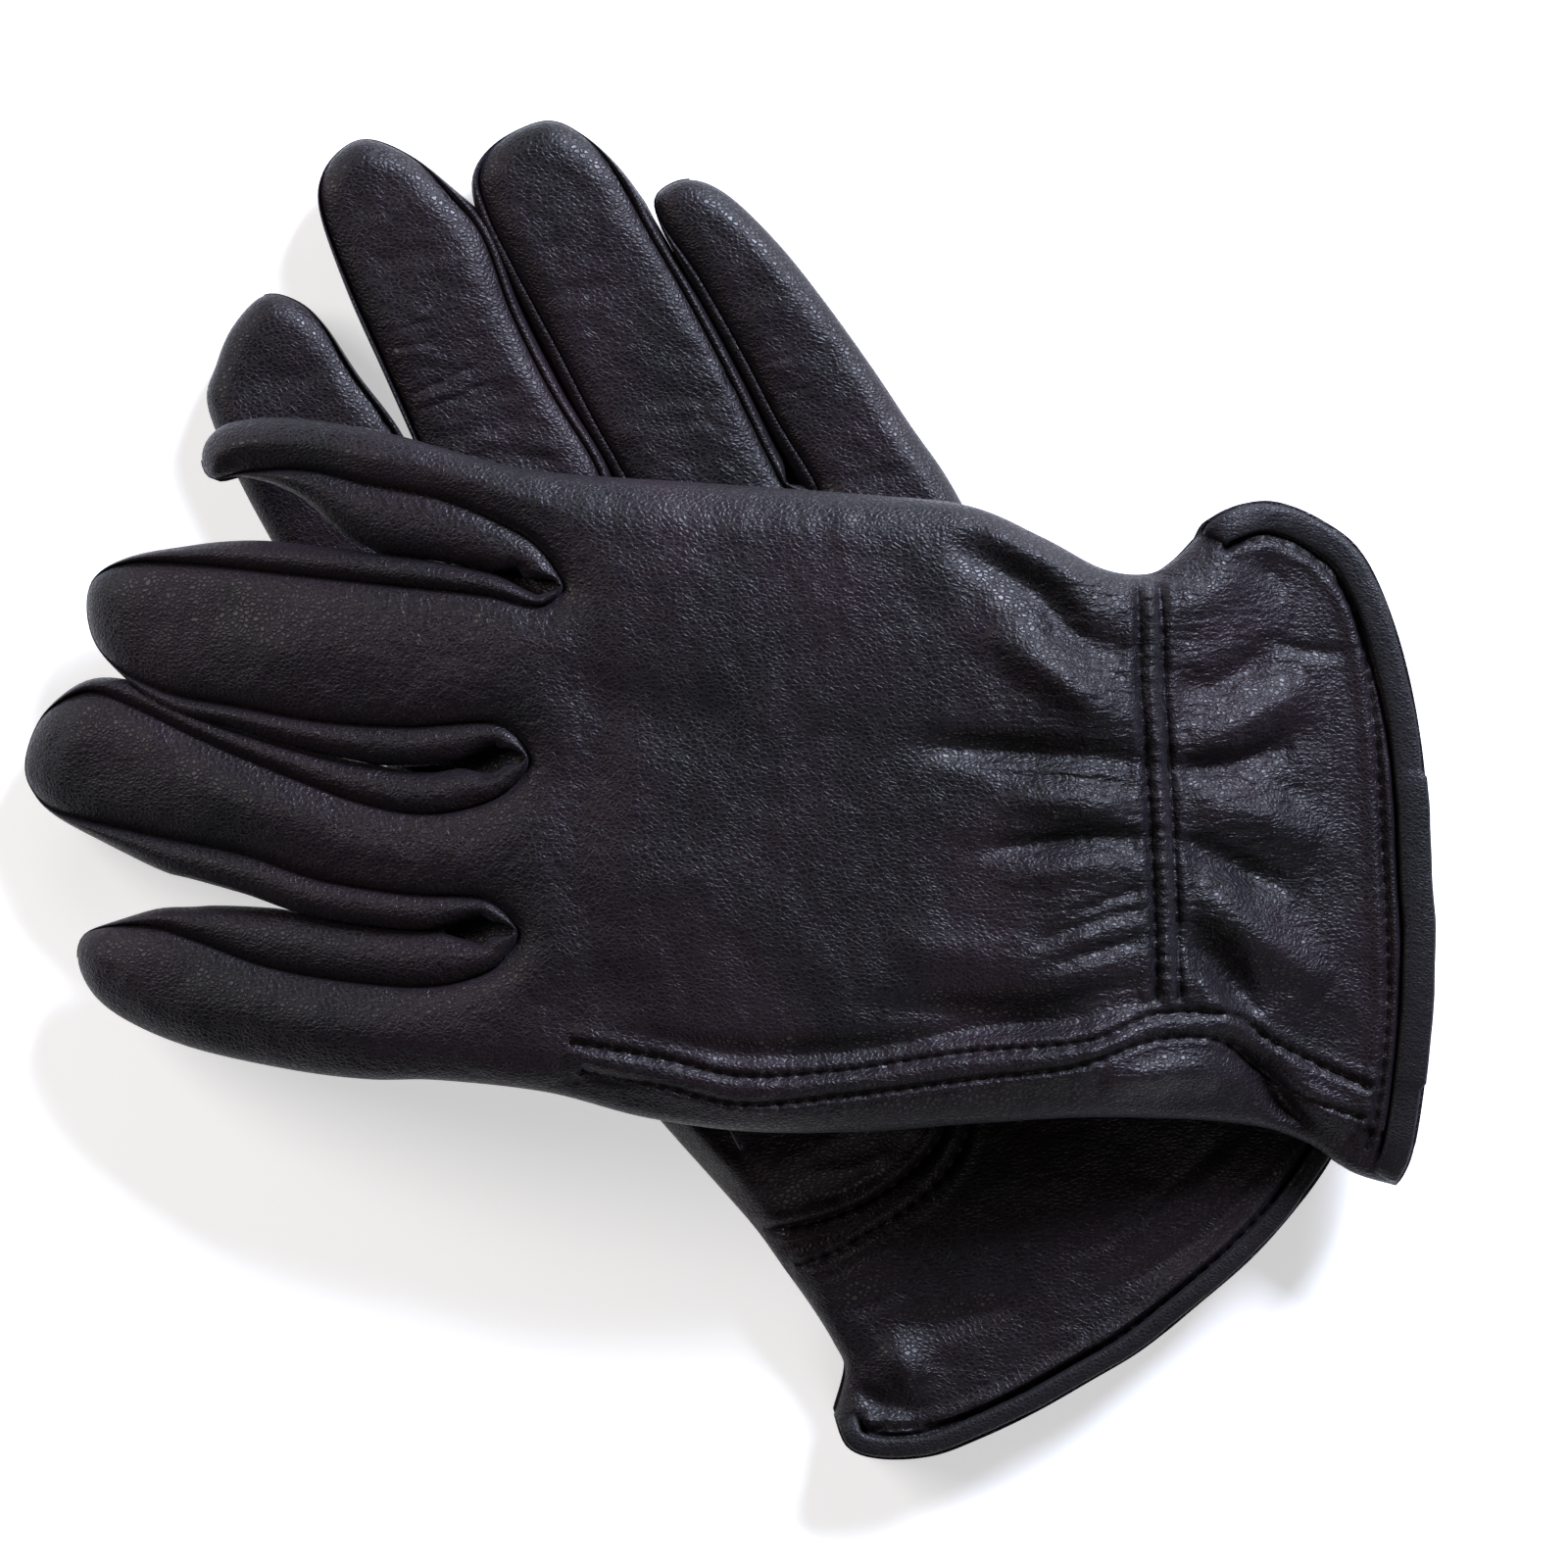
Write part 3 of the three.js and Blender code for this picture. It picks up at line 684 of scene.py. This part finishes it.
def make_fourchettes(glove):
    """The strips between the fingers: each stands out from its two seams as a soft roll."""
    side_line, run = glove["side"], glove["run"]
    tangent = unit_tangents(side_line)
    outward = np.stack([-tangent[:, 1], tangent[:, 0]], axis=1)
    middle = glove["middle_plane"](side_line[:, 0], side_line[:, 1])
    side = glove["name"]
    turn = np.radians(148)  # the roll's edges tuck back under its widest part by this much
    for number, finger in enumerate(FINGERS):
        tip = glove["tip_runs"][number]
        for which in (0, 1):
            if not glove["bulge"][finger][which]:
                continue
            crotch = glove["crotch_runs"][number - 1 + which]
            low, high = min(tip, crotch), max(tip, crotch)
            chosen = np.flatnonzero((run >= low - 0.6) & (run <= high + 0.6))
            from_tip = np.abs(run[chosen] - tip)
            bulge = fourchette_bulge(glove, number, which, chosen, from_tip)
            uneven = ripple(side_line[chosen], 16, 31 + number + 5 * which, octaves=2)
            edge = glove["edge"][chosen] * 1.02
            drop = glove["drop"] * smooth(1, 4, bulge)
            rows = 19
            vertices = []
            for angle in np.linspace(turn, -turn, rows):
                reach = (np.cos(angle) - np.cos(turn)) / (1 - np.cos(turn))
                spread = outward[chosen] * (bulge * reach)[:, None]
                lift = edge * np.sin(angle) / np.sin(turn) - drop * reach
                crumple = 0.3 * uneven * reach * np.cos(angle / 2)
                height = middle[chosen] + lift + crumple
                vertices.append(np.column_stack([
                    side_line[chosen] + spread, np.maximum(height, glove["floor"]),
                ]))
            vertices = np.vstack(vertices)
            count = len(chosen)
            quads = [
                (k * count + i, (k + 1) * count + i, (k + 1) * count + i + 1, k * count + i + 1)
                for k in range(rows - 1) for i in range(count - 1)
            ]
            single = glove["bulge"][finger][1 - which] == 0
            cad = "fourchette" if single else ("fourchette_in", "fourchette_out")[which]
            piece = make_object(f"{side}_{finger}_{cad}_roll", vertices, quads, None, "leather")
            bend_with(piece)
            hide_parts(f"{side}_{finger}_{cad}")


def make_crotch_webs(glove, reach=20.0):
    """Where two fourchettes meet in the fork of the fingers, the leather closes the gap."""
    side_line, run = glove["side"], glove["run"]
    for number, crotch in enumerate(glove["crotch_runs"]):
        count = 20
        back = np.linspace(0.1, reach, count)
        ends = []
        for direction in (-1, 1):
            at = crotch + direction * back
            ends.append(np.stack([
                np.interp(at, run, side_line[:, 0]), np.interp(at, run, side_line[:, 1]),
                np.interp(at, run, glove["edge"]),
            ], axis=1))
        columns = 11
        vertices = []
        for k in range(columns):
            s = k / (columns - 1)
            point = ends[0] * (1 - s) + ends[1] * s
            middle = glove["middle_plane"](point[:, 0], point[:, 1])
            sag = np.sin(np.pi * s) * (1.2 + 0.28 * back)
            crumple = 0.3 * ripple(point[:, :2], 2.6, 61 + number, octaves=2) * np.sin(np.pi * s)
            height = np.maximum(middle + point[:, 2] - 0.1 - sag + crumple, glove["floor"])
            vertices.append(np.column_stack([point[:, :2], height]))
        vertices = np.vstack(vertices)
        quads = grid_quads(columns, count)
        finger = FINGERS[number + 1]
        piece = make_object(f"{glove['name']}_{finger}_fork", vertices, quads, None, "leather")
        bend_with(piece)


def cuff_ring(glove, inset, step=1.4):
    """The cuff's edge, inset along the glove: its upper line, its lower line and the way in."""
    hem = spline(glove["hem"], step)[0]
    towards = unit_tangents(hem)
    inward = np.stack([towards[:, 1], -towards[:, 0]], axis=1)
    centre = glove["polygon"].mean(0)
    if ((centre - hem.mean(0)) @ inward.mean(0)) < 0:
        inward = -inward
    line = hem + inset * inward
    top = surface(glove, hem + 1.0 * inward, top=True, details=False)
    low = surface(glove, hem + 1.0 * inward, top=False, details=False)
    upper = np.column_stack([line, top])
    lower = np.column_stack([line, low])[::-1]
    return upper[1:-1], lower[1:-1], inward[1:-1]


def make_binding(glove, width, thickness, laps):
    """The strip of thin leather folded over the cuff's edge, all the way round."""
    side = glove["name"]
    upper, lower, inward = cuff_ring(glove, 0.4)
    ring = np.vstack([upper, lower])
    ring = spline(ring, 1.3, closed=True)[0]
    centre = ring.mean(0)
    nearest = ((ring[:, None, :2] - upper[None, :, :2]) ** 2).sum(2).argmin(1)
    way_in = np.column_stack([inward[nearest], np.zeros(len(ring))])
    tangent = np.roll(ring, -1, axis=0) - np.roll(ring, 1, axis=0)
    tangent /= np.linalg.norm(tangent, axis=1, keepdims=True)
    out = np.cross(tangent, way_in)
    out /= np.linalg.norm(out, axis=1, keepdims=True) + 1e-9
    if ((ring - centre) * out).sum() < 0:
        out = -out
    section = 14
    vertices = []
    ripple_along = ripple(ring, 14, 41)
    past_first = smooth(laps[0], laps[0] + 0.5, ring[:, 1])
    between_laps = past_first * (1 - smooth(laps[1], laps[1] + 0.5, ring[:, 1]))
    for k in range(section):
        angle = 2 * np.pi * k / section
        along = np.sign(np.cos(angle)) * abs(np.cos(angle)) ** 0.55 * width / 2
        along = along - (np.cos(angle) < 0) * 0.8 * between_laps[:, None]
        proud = np.sign(np.sin(angle)) * abs(np.sin(angle)) ** 0.6 * thickness / 2
        centre_line = ring + way_in * (width / 2 + 0.25 * ripple_along[:, None])
        thicker = 1 + 0.2 * between_laps[:, None]
        vertices.append(centre_line + way_in * along + out * proud * thicker)
    vertices = np.vstack(vertices)
    vertices[:, 2] = np.maximum(vertices[:, 2], max(glove["floor"], 0.12))
    count = len(ring)
    quads = [
        (k * count + i, ((k + 1) % section) * count + i,
         ((k + 1) % section) * count + (i + 1) % count, k * count + (i + 1) % count)
        for k in range(section) for i in range(count)
    ]
    quads = outward_quads(vertices, quads)
    piece = make_object(f"{side}_cuff_binding", vertices, quads, f"{side}_hand", "binding")
    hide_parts(f"{side}_hem_binding")


def outward_quads(vertices, quads):
    """The same quads, turned so that the closed shape they make faces out."""
    q = np.array(quads)
    a, b, c = vertices[q[:, 0]], vertices[q[:, 1]], vertices[q[:, 2]]
    volume = (a * np.cross(b, c)).sum()
    return q if volume > 0 else q[:, ::-1]


def stitch_mesh(paths_3d):
    """Short rounded stitches along 3-D paths: vertices and faces."""
    vertices, faces = [], []
    length, width, height = STITCH_PITCH * 0.74, 0.62, 0.5
    around, along = 8, 5
    for path in paths_3d:
        run = np.concatenate([[0], np.cumsum(np.linalg.norm(np.diff(path, axis=0), axis=1))])
        for start in np.arange(0.4, run[-1] - length, STITCH_PITCH):
            ends = [
                np.array([np.interp(start + d, run, path[:, k]) for k in range(3)])
                for d in (0, length)
            ]
            centre = (ends[0] + ends[1]) / 2
            t = ends[1] - ends[0]
            half = np.linalg.norm(t) / 2
            t /= 2 * half
            s = np.cross([0, 0, 1], t)
            s /= np.linalg.norm(s) + 1e-9
            n = np.cross(t, s)
            base = len(vertices)
            for i in range(along + 1):
                a = np.pi * i / along
                ring = max(np.sin(a), 0.06) ** 0.5
                for j in range(around):
                    b = 2 * np.pi * j / around
                    vertices.append(
                        centre - t * half * np.cos(a)
                        + s * ring * np.cos(b) * width / 2 + n * ring * np.sin(b) * height / 2
                    )
            for i in range(along):
                for j in range(around):
                    k = (j + 1) % around
                    faces.append((base + i * around + j, base + i * around + k,
                                  base + (i + 1) * around + k, base + (i + 1) * around + j))
            faces.append(tuple(base + j for j in reversed(range(around))))
            faces.append(tuple(base + along * around + j for j in range(around)))
    return np.array(vertices), faces


def lift_path(glove, path, top=True, sink=-0.18):
    """A path in plan laid on a glove's face."""
    flat = spline(path, 0.8)[0]
    heights = surface(glove, flat, top=top)
    return np.column_stack([flat, heights + (sink if top else -sink)])


def make_threads(glove, rows):
    side = glove["name"]
    groups = {}
    for name, path in rows.items():
        groups.setdefault(name.split("_")[0], []).append(path)
    for name, paths in groups.items():
        vertices, faces = stitch_mesh([lift_path(glove, p) for p in paths])
        piece = make_object(f"{side}_{name}_stitches", vertices, faces, f"{side}_hand", "stitching")
        cad = f"{side}_{name}_thread"
        if cad in frame["nodes"]:
            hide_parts(cad)


def make_underside_threads():
    """The rows on the lower glove's back, which faces down."""
    axis, across, wrist = LEFT_WRIST
    for name, starts in (("wrist", (-2, 2)), ("side", None)):
        if starts:
            paths = [[wrist + axis * s + across * w for w in np.linspace(-34, 34, 6)] for s in starts]
        else:
            edge = [(18, -97), (1.5, -75.5), (-23.5, -46.5), (-41.5, -27), (-57, -2.5)]
            paths = [[np.array(p) + across * d for p in edge] for d in (5.5, 9.0)]
        lifted = [lift_path(LEFT, p, top=False, sink=0.05) for p in paths]
        for path in lifted:
            path[:, 2] = np.maximum(path[:, 2], 0.35)
        vertices, faces = stitch_mesh(lifted)
        piece = make_object(f"left_{name}_stitches", vertices, faces, "left_hand", "stitching")
        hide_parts(f"left_{name}_thread")


def make_thumb(side, root, tip, middle_height, width=29.0, half_height=3.05):
    """A thumb pressed flat between the gloves: a soft tube with a seam round its edge."""
    root, tip = np.array(root, float), np.array(tip, float)
    length = np.linalg.norm(tip - root)
    ahead = (tip - root) / length
    across = np.array([-ahead[1], ahead[0]])
    rows, around = 46, 56
    vertices = []
    for i in range(rows):
        u = i / (rows - 1)
        reach = length * (1 - (1 - u) ** 1.25)
        past = max(0, (reach - length + 0.5 * width) / (0.5 * width))
        cap = np.sqrt(max(1 - past**2, 0.0004))
        half = width / 2 * (1 - 0.14 * u) * cap * (1 + 0.1 * np.exp(-(u / 0.12) ** 2))
        tall = half_height * cap**0.7
        for j in range(around):
            a = 2 * np.pi * j / around
            c = np.sign(np.cos(a)) * abs(np.cos(a)) ** 0.8
            s = np.sign(np.sin(a)) * abs(np.sin(a)) ** 0.75
            seam = 1 - 0.22 * np.exp(-(np.sin(a) / 0.12) ** 2)
            bump = 1 + 0.07 * noise.noise(Vector((reach / 9, a * 1.4, 3)))
            p = root + ahead * (reach + 1.5 * bump) + across * c * half * seam
            vertices.append((p[0], p[1], middle_height + s * tall * bump))
    quads = [
        (i * around + j, i * around + (j + 1) % around,
         (i + 1) * around + (j + 1) % around, (i + 1) * around + j)
        for i in range(rows - 1) for j in range(around)
    ]
    vertices = np.array(vertices)
    faces = [tuple(q) for q in outward_quads(vertices, quads)]
    faces.append(tuple((rows - 1) * around + j for j in range(around)))
    piece = make_object(f"{side}_thumb_leather", vertices, faces, f"{side}_thumb", "leather")
    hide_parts(f"{side}_thumb")
    inner = vertices.copy()
    inner[:, 2] = middle_height + (inner[:, 2] - middle_height) * 0.62
    pulled = root + (inner[:, :2] - root) * 0.96
    centre_line = root + ahead * ((pulled - root) @ ahead)[:, None]
    inner[:, :2] = centre_line + (pulled - centre_line) * 0.9
    lining = make_object(f"{side}_thumb_knit", inner, faces, f"{side}_thumb", "knit_lining")
    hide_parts(f"{side}_thumb_lining")


def make_elastic(glove, rows_at, across_range, top):
    """The elastic tape behind the gathers, inside the back of the wrist."""
    side = glove["name"]
    along, across, centre = rows_at
    count, rows = 60, 4
    plan = np.array([
        centre + along * s + across * w
        for s in np.linspace(-4, 4, rows) for w in np.linspace(*across_range, count)
    ])
    heights = surface(glove, plan, top=top, shrink=2.0, details=top)
    vertices = np.column_stack([plan, heights])
    quads = grid_quads(rows, count)
    piece = make_object(f"{side}_gathering_elastic", vertices, quads, f"{side}_hand", "elastic")
    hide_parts(f"{side}_wrist_elastic")


# ---------------------------------------------------------------- materials

def new_material(name, color, roughness):
    material = bpy.data.materials.new(name)
    material.use_nodes = True
    nodes = material.node_tree.nodes
    shader = nodes["Principled BSDF"]
    shader.inputs["Base Color"].default_value = (*color, 1)
    shader.inputs["Roughness"].default_value = roughness
    return material, nodes, material.node_tree.links, shader


def add_node(nodes, kind, **settings):
    """A shader node with the named inputs set."""
    node = nodes.new(kind)
    for label, value in settings.items():
        node.inputs[label.replace("_", " ")].default_value = value
    return node


def scaled(nodes, links, source, factors):
    """The source's coordinates, each times its factor."""
    node = nodes.new("ShaderNodeVectorMath")
    node.operation = "MULTIPLY"
    node.inputs[1].default_value = factors
    links.new(source, node.inputs[0])
    return node


def nearness(nodes, links, source, centre, **ranges):
    """A value that grows from far to near a place on the glove."""
    distance = nodes.new("ShaderNodeVectorMath")
    distance.operation = "DISTANCE"
    links.new(source, distance.inputs[0])
    distance.inputs[1].default_value = centre
    node = add_node(nodes, "ShaderNodeMapRange", **ranges)
    links.new(distance.outputs["Value"], node.inputs["Value"])
    return node


def add_bump(nodes, links, height, below=None, **settings):
    """A bump from a height, laid over the bump below it."""
    node = add_node(nodes, "ShaderNodeBump", **settings)
    links.new(height, node.inputs["Height"])
    if below:
        links.new(below.outputs["Normal"], node.inputs["Normal"])
    return node


def leather_material(name, dark, light, grain_scale, roughness, grain_depth):
    """Pebbled leather: grain cells with painted shade in the valleys between them, fine wrinkles,
    uneven tint and sheen.
    """
    material, nodes, links, shader = new_material(name, dark, roughness)
    place = nodes.new("ShaderNodeTexCoord").outputs["Object"]
    warp = add_node(nodes, "ShaderNodeTexNoise", Scale=260, Detail=3)
    shift = nodes.new("ShaderNodeVectorMath")
    shift.operation = "MULTIPLY_ADD"
    shift.inputs[1].default_value = (0.0011, 0.0011, 0.0011)
    links.new(place, warp.inputs["Vector"])
    links.new(warp.outputs["Color"], shift.inputs[0])
    links.new(place, shift.inputs[2])
    shifted = shift.outputs[0]

    cells = nodes.new("ShaderNodeTexVoronoi")
    cells.feature = "DISTANCE_TO_EDGE"
    cells.inputs["Scale"].default_value = grain_scale
    lengthened = scaled(nodes, links, shifted, (0.72, 1, 1))
    links.new(lengthened.outputs[0], cells.inputs["Vector"])
    pebble = add_node(nodes, "ShaderNodeMapRange", From_Max=0.27)
    pebble.interpolation_type = "SMOOTHSTEP"
    links.new(cells.outputs["Distance"], pebble.inputs["Value"])

    fine = add_node(nodes, "ShaderNodeTexNoise", Scale=2600, Detail=4)
    links.new(place, fine.inputs["Vector"])
    wrinkle = add_node(nodes, "ShaderNodeTexNoise", Scale=460, Detail=4, Distortion=0.5)
    links.new(shifted, wrinkle.inputs["Vector"])
    crumple = add_node(nodes, "ShaderNodeTexNoise", Scale=850, Detail=3, Distortion=0.8)
    stretched = scaled(nodes, links, shifted, (0.24, 1, 0.6))
    links.new(stretched.outputs[0], crumple.inputs["Vector"])
    flattened = scaled(nodes, links, place, (1, 0.55, 0.3)).outputs[0]
    gathered = nearness(
        nodes, links, flattened, (0.08, 0, 0.01), From_Min=0.042, From_Max=0.012)
    slack = nearness(
        nodes, links, flattened, (-0.045, 0, 0.01),
        From_Min=0.04, From_Max=0.012, To_Min=0.25, To_Max=0.75)

    patch = add_node(nodes, "ShaderNodeTexNoise", Scale=38, Detail=3)
    links.new(place, patch.inputs["Vector"])
    spread = add_node(nodes, "ShaderNodeMapRange", From_Min=0.36, From_Max=0.66)
    links.new(patch.outputs["Fac"], spread.inputs["Value"])
    tint = nodes.new("ShaderNodeMix")
    tint.data_type = "RGBA"
    tint.inputs["A"].default_value = (*dark, 1)
    tint.inputs["B"].default_value = (*light, 1)
    links.new(spread.outputs["Result"], tint.inputs["Factor"])
    # painted shade: the base colour is darkened in the valleys between the grain's cells, where the
    # pebble bump dips
    painted_grain_shade = nodes.new("ShaderNodeMix")
    painted_grain_shade.data_type = "RGBA"
    painted_grain_shade.blend_type = "MULTIPLY"
    painted_grain_shade.inputs["Factor"].default_value = 0.55
    links.new(tint.outputs["Result"], painted_grain_shade.inputs["A"])
    links.new(pebble.outputs["Result"], painted_grain_shade.inputs["B"])
    links.new(painted_grain_shade.outputs["Result"], shader.inputs["Base Color"])
    gloss = add_node(
        nodes, "ShaderNodeMapRange", To_Min=roughness + 0.22, To_Max=roughness - 0.02)
    links.new(pebble.outputs["Result"], gloss.inputs["Value"])
    links.new(gloss.outputs["Result"], shader.inputs["Roughness"])

    crease = add_bump(nodes, links, crumple.outputs["Fac"], Distance=0.0007)
    links.new(gathered.outputs["Result"], crease.inputs["Strength"])
    deep = add_bump(nodes, links, wrinkle.outputs["Fac"], crease, Distance=0.0007)
    links.new(slack.outputs["Result"], deep.inputs["Strength"])
    grain = add_bump(
        nodes, links, pebble.outputs["Result"], deep, Strength=0.46, Distance=grain_depth)
    grit = add_bump(nodes, links, fine.outputs["Fac"], grain, Strength=0.08, Distance=0.00006)
    links.new(grit.outputs["Normal"], shader.inputs["Normal"])
    shader.inputs["Specular IOR Level"].default_value = 0.22
    shader.inputs["Sheen Weight"].default_value = 0.04
    shader.inputs["Sheen Roughness"].default_value = 0.4
    shader.inputs["Sheen Tint"].default_value = (0.75, 0.78, 1, 1)
    return material


def woven_material(name, color, scale, depth, roughness):
    """Thread, knit or tape: fine crossing ribs, with painted shade between them and painted highlight
    on their crossings.
    """
    material, nodes, links, shader = new_material(name, color, roughness)
    place = nodes.new("ShaderNodeTexCoord")
    ribs = []
    for direction in ("X", "Y"):
        wave = nodes.new("ShaderNodeTexWave")
        wave.bands_direction = direction
        wave.inputs["Scale"].default_value = scale
        wave.inputs["Distortion"].default_value = 1.5
        links.new(place.outputs["Object"], wave.inputs["Vector"])
        ribs.append(wave)
    # where the two sets of ribs cross, the surface is high and painted pale as a highlight; the hollows
    # between ribs are painted dark as shade
    weave = nodes.new("ShaderNodeMath")
    weave.operation = "MULTIPLY"
    links.new(ribs[0].outputs["Fac"], weave.inputs[0])
    links.new(ribs[1].outputs["Fac"], weave.inputs[1])
    tint = nodes.new("ShaderNodeMix")
    tint.data_type = "RGBA"
    tint.inputs["A"].default_value = (*(c * 0.5 for c in color), 1)
    tint.inputs["B"].default_value = (*(c * 1.6 for c in color), 1)
    links.new(weave.outputs[0], tint.inputs["Factor"])
    links.new(tint.outputs["Result"], shader.inputs["Base Color"])
    bump = add_bump(nodes, links, weave.outputs[0], Strength=0.7, Distance=depth)
    links.new(bump.outputs["Normal"], shader.inputs["Normal"])
    shader.inputs["Specular IOR Level"].default_value = 0.08
    shader.inputs["Sheen Weight"].default_value = 0.06
    return material


MATERIALS = {
    "leather": leather_material(
        "black leather", (0.0042, 0.0031, 0.0042), (0.011, 0.0052, 0.0086), 1300, 0.35, 0.00016),
    "binding": leather_material(
        "binding leather", (0.004, 0.0035, 0.0045), (0.008, 0.006, 0.008), 1500, 0.4, 0.0001),
    "knit_lining": woven_material("knit lining", (0.02, 0.019, 0.022), 900, 0.0003, 0.95),
    "elastic": woven_material("elastic tape", (0.02, 0.02, 0.022), 700, 0.0003, 0.9),
    "stitching": woven_material("thread", (0.004, 0.0036, 0.0042), 1800, 0.0001, 0.75),
}


# ---------------------------------------------------------------- stage

def make_stage():
    """A white floor, soft light from the upper right, and a camera straight above."""
    bpy.ops.mesh.primitive_plane_add(size=6, location=(0, 0, -0.0006))
    floor = bpy.context.object
    floor.name = "floor"
    material, _, _, shader = new_material("white floor", (0.9, 0.9, 0.9), 0.9)
    shader.inputs["Emission Color"].default_value = (1, 1, 1, 1)
    shader.inputs["Emission Strength"].default_value = 0.5
    floor.data.materials.append(material)

    def area_light(name, place, target, size, power, color):
        data = bpy.data.lights.new(name, "AREA")
        data.shape = "RECTANGLE"
        data.size, data.size_y = size
        data.energy = power
        data.color = color
        lamp = bpy.data.objects.new(name, data)
        bpy.context.scene.collection.objects.link(lamp)
        lamp.location = place
        way = Vector(target) - Vector(place)
        lamp.rotation_euler = way.to_track_quat("-Z", "Y").to_euler()

    area_light("window", (0.68, 0.98, 0.72), (0, 0, 0), (0.55, 0.45), 62, (0.74, 0.8, 1))
    area_light("room", (-1.0, 0.55, 0.75), (0, 0, 0), (0.7, 0.6), 10, (1, 0.95, 0.93))
    area_light("low fill", (0.35, -1.1, 0.8), (0, 0, 0), (0.7, 0.6), 3, (1, 0.95, 0.97))
    world = bpy.data.worlds.new("studio")
    world.use_nodes = True
    world.node_tree.nodes["Background"].inputs["Color"].default_value = (1, 1, 1, 1)
    world.node_tree.nodes["Background"].inputs["Strength"].default_value = 0.035
    bpy.context.scene.world = world
    bpy.context.scene.view_settings.view_transform = "Standard"

    data = bpy.data.cameras.new("camera")
    camera = bpy.data.objects.new("camera", data)
    bpy.context.scene.collection.objects.link(camera)
    distance = 1.2
    camera.location = (0.01303, -0.00263, distance)
    data.lens = 36 * (distance - 0.02) / 0.28
    data.sensor_width = 36
    bpy.context.scene.camera = camera


make_stage()
for glove in (LEFT, RIGHT):
    lay_out(glove)
    make_skin(glove)
    make_fourchettes(glove)
    make_crotch_webs(glove)
    make_lining(glove)
    make_binding(glove, *glove["binding"])
make_threads(RIGHT, RIGHT_ROWS)
make_threads(LEFT, LEFT_ROWS)
make_underside_threads()
make_thumb("left", (19, -61), (-22, 3), 17.6)
make_thumb("right", (64.5, -38.5), (7, 4.5), 24.6)
make_elastic(RIGHT, RIGHT_WRIST, (-37, 36), True)
make_elastic(LEFT, LEFT_WRIST, (-36, 36), False)
